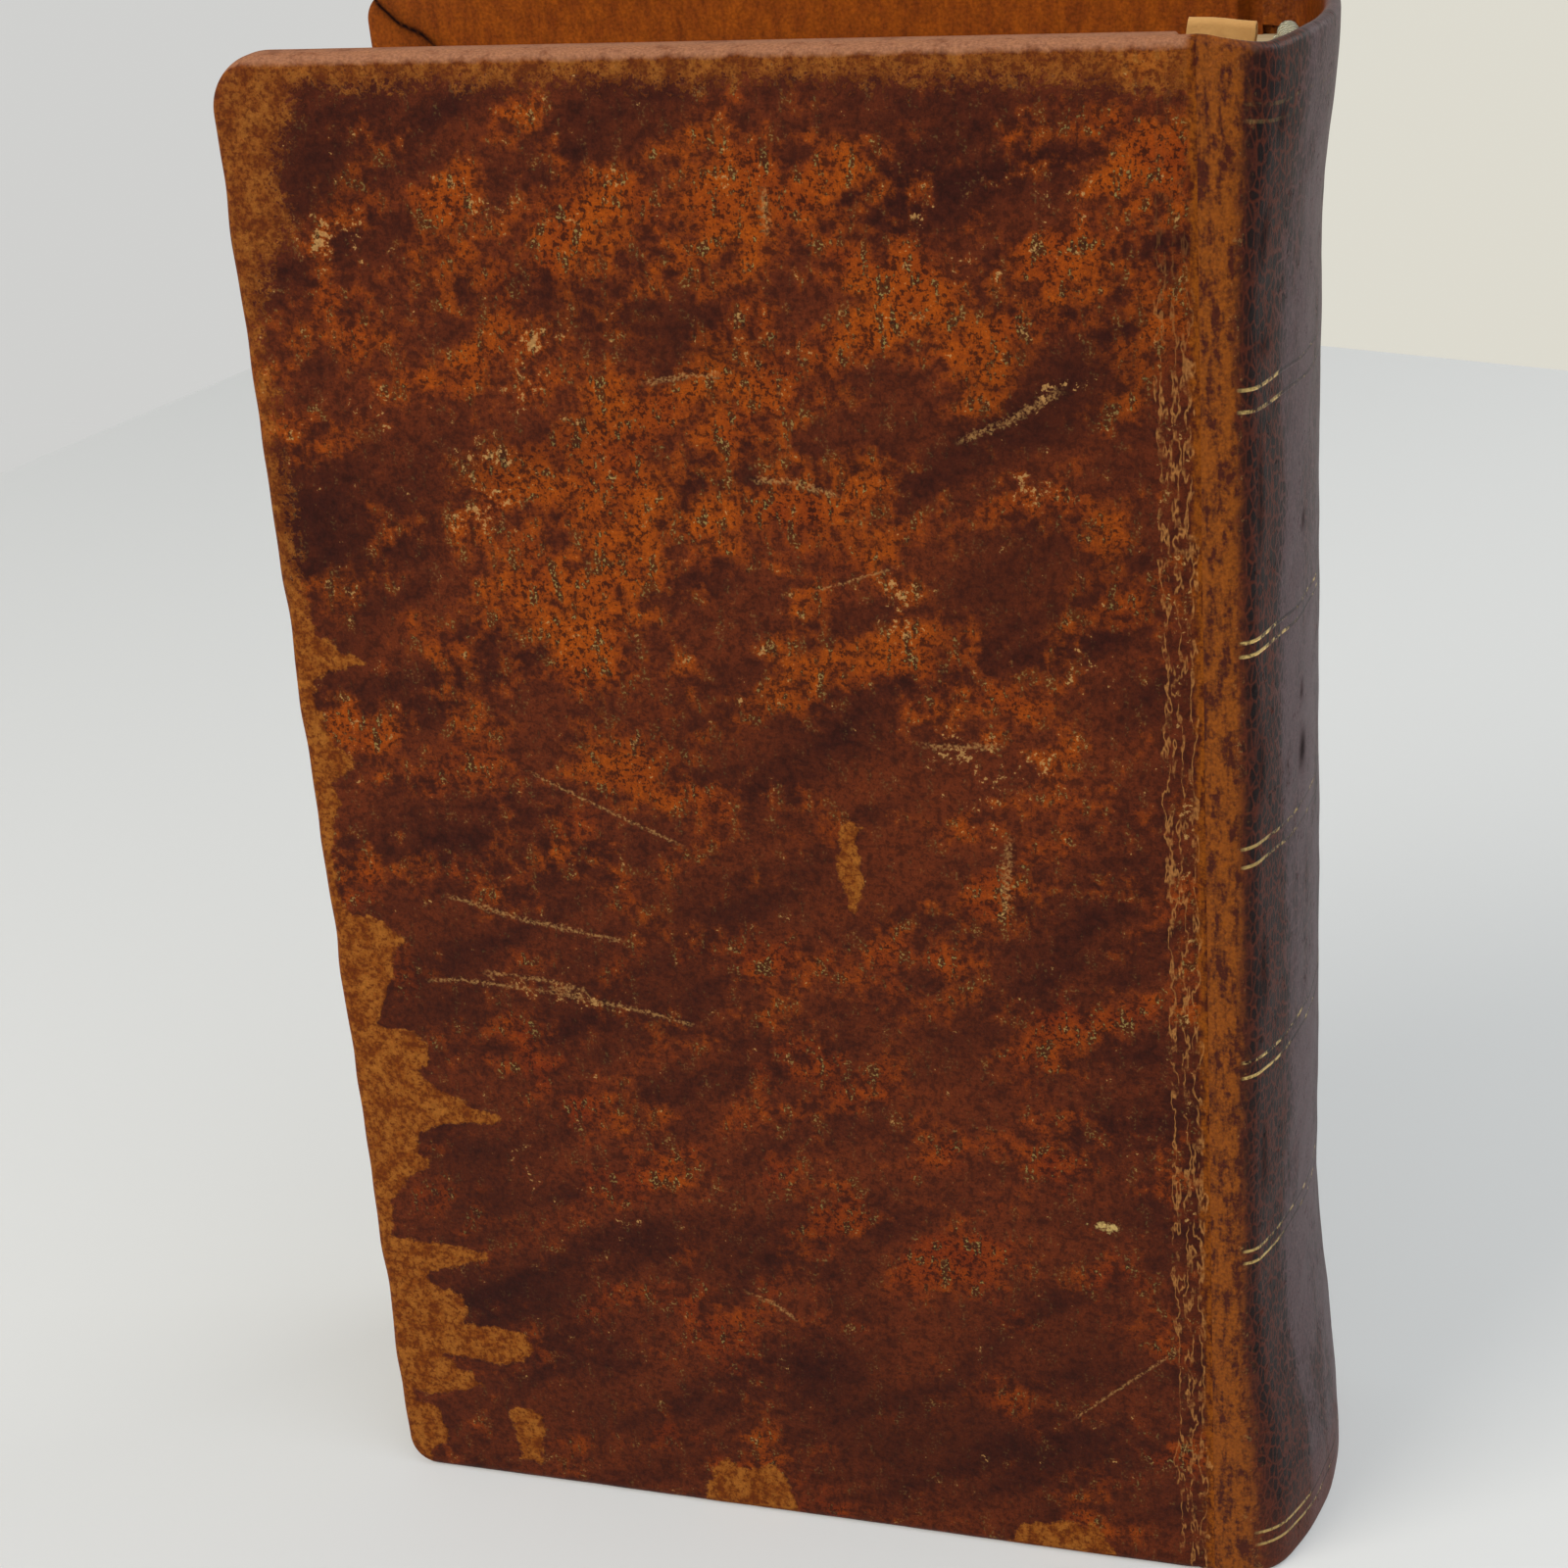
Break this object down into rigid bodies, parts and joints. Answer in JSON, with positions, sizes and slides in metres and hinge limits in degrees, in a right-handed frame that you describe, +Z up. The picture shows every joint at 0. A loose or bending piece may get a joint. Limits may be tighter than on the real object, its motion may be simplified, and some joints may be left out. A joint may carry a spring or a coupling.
{
  "type": "antique leather book",
  "caption": "Small antique book in full mottled calf with a smooth rounded spine, hinged covers, endbands and a folded paper marker slip.",
  "frame": {"origin": "middle of the footprint, on the surface that the book stands on", "axes": "+Z up to the head of the book, +X towards the spine, -Y towards the outside of the back cover"},
  "size_m": [0.116, 0.044, 0.18],
  "materials": {
    "cover_leather": "satin",
    "spine_leather": "satin",
    "pasteboard": "matte",
    "pastedown_paper": "matte",
    "leaves": "matte",
    "lining_paper": "matte",
    "slip_paper": "matte",
    "endband_thread": "matte",
    "hemp_cord": "matte"
  },
  "bodies": {
    "book_block": {"text_block": "leaves", "spine_lining": "lining_paper", "spine_leather": "spine_leather", "head_endband": "endband_thread", "tail_endband": "endband_thread", "marker_slip": "slip_paper", "sewing_cord_1": "hemp_cord", "sewing_cord_2": "hemp_cord", "sewing_cord_3": "hemp_cord", "sewing_cord_4": "hemp_cord"},
    "back_cover": {"back_board": "pasteboard", "back_cover_leather": "cover_leather", "back_pastedown": "pastedown_paper", "back_cord_slip_1": "hemp_cord", "back_cord_slip_2": "hemp_cord", "back_cord_slip_3": "hemp_cord", "back_cord_slip_4": "hemp_cord"},
    "front_cover": {"front_board": "pasteboard", "front_cover_leather": "cover_leather", "front_pastedown": "pastedown_paper", "front_cord_slip_1": "hemp_cord", "front_cord_slip_2": "hemp_cord", "front_cord_slip_3": "hemp_cord", "front_cord_slip_4": "hemp_cord"}
  },
  "joints": [
    {"name": "back_cover_hinge", "type": "hinge", "parent": "book_block", "child": "back_cover", "pos_m": [0.04515, -0.022, 0.09], "axis": [0, 0, 1], "range_deg": [0, 170]},
    {"name": "front_cover_hinge", "type": "hinge", "parent": "book_block", "child": "front_cover", "pos_m": [0.04515, 0.022, 0.09], "axis": [0, 0, -1], "range_deg": [0, 170]}
  ]
}
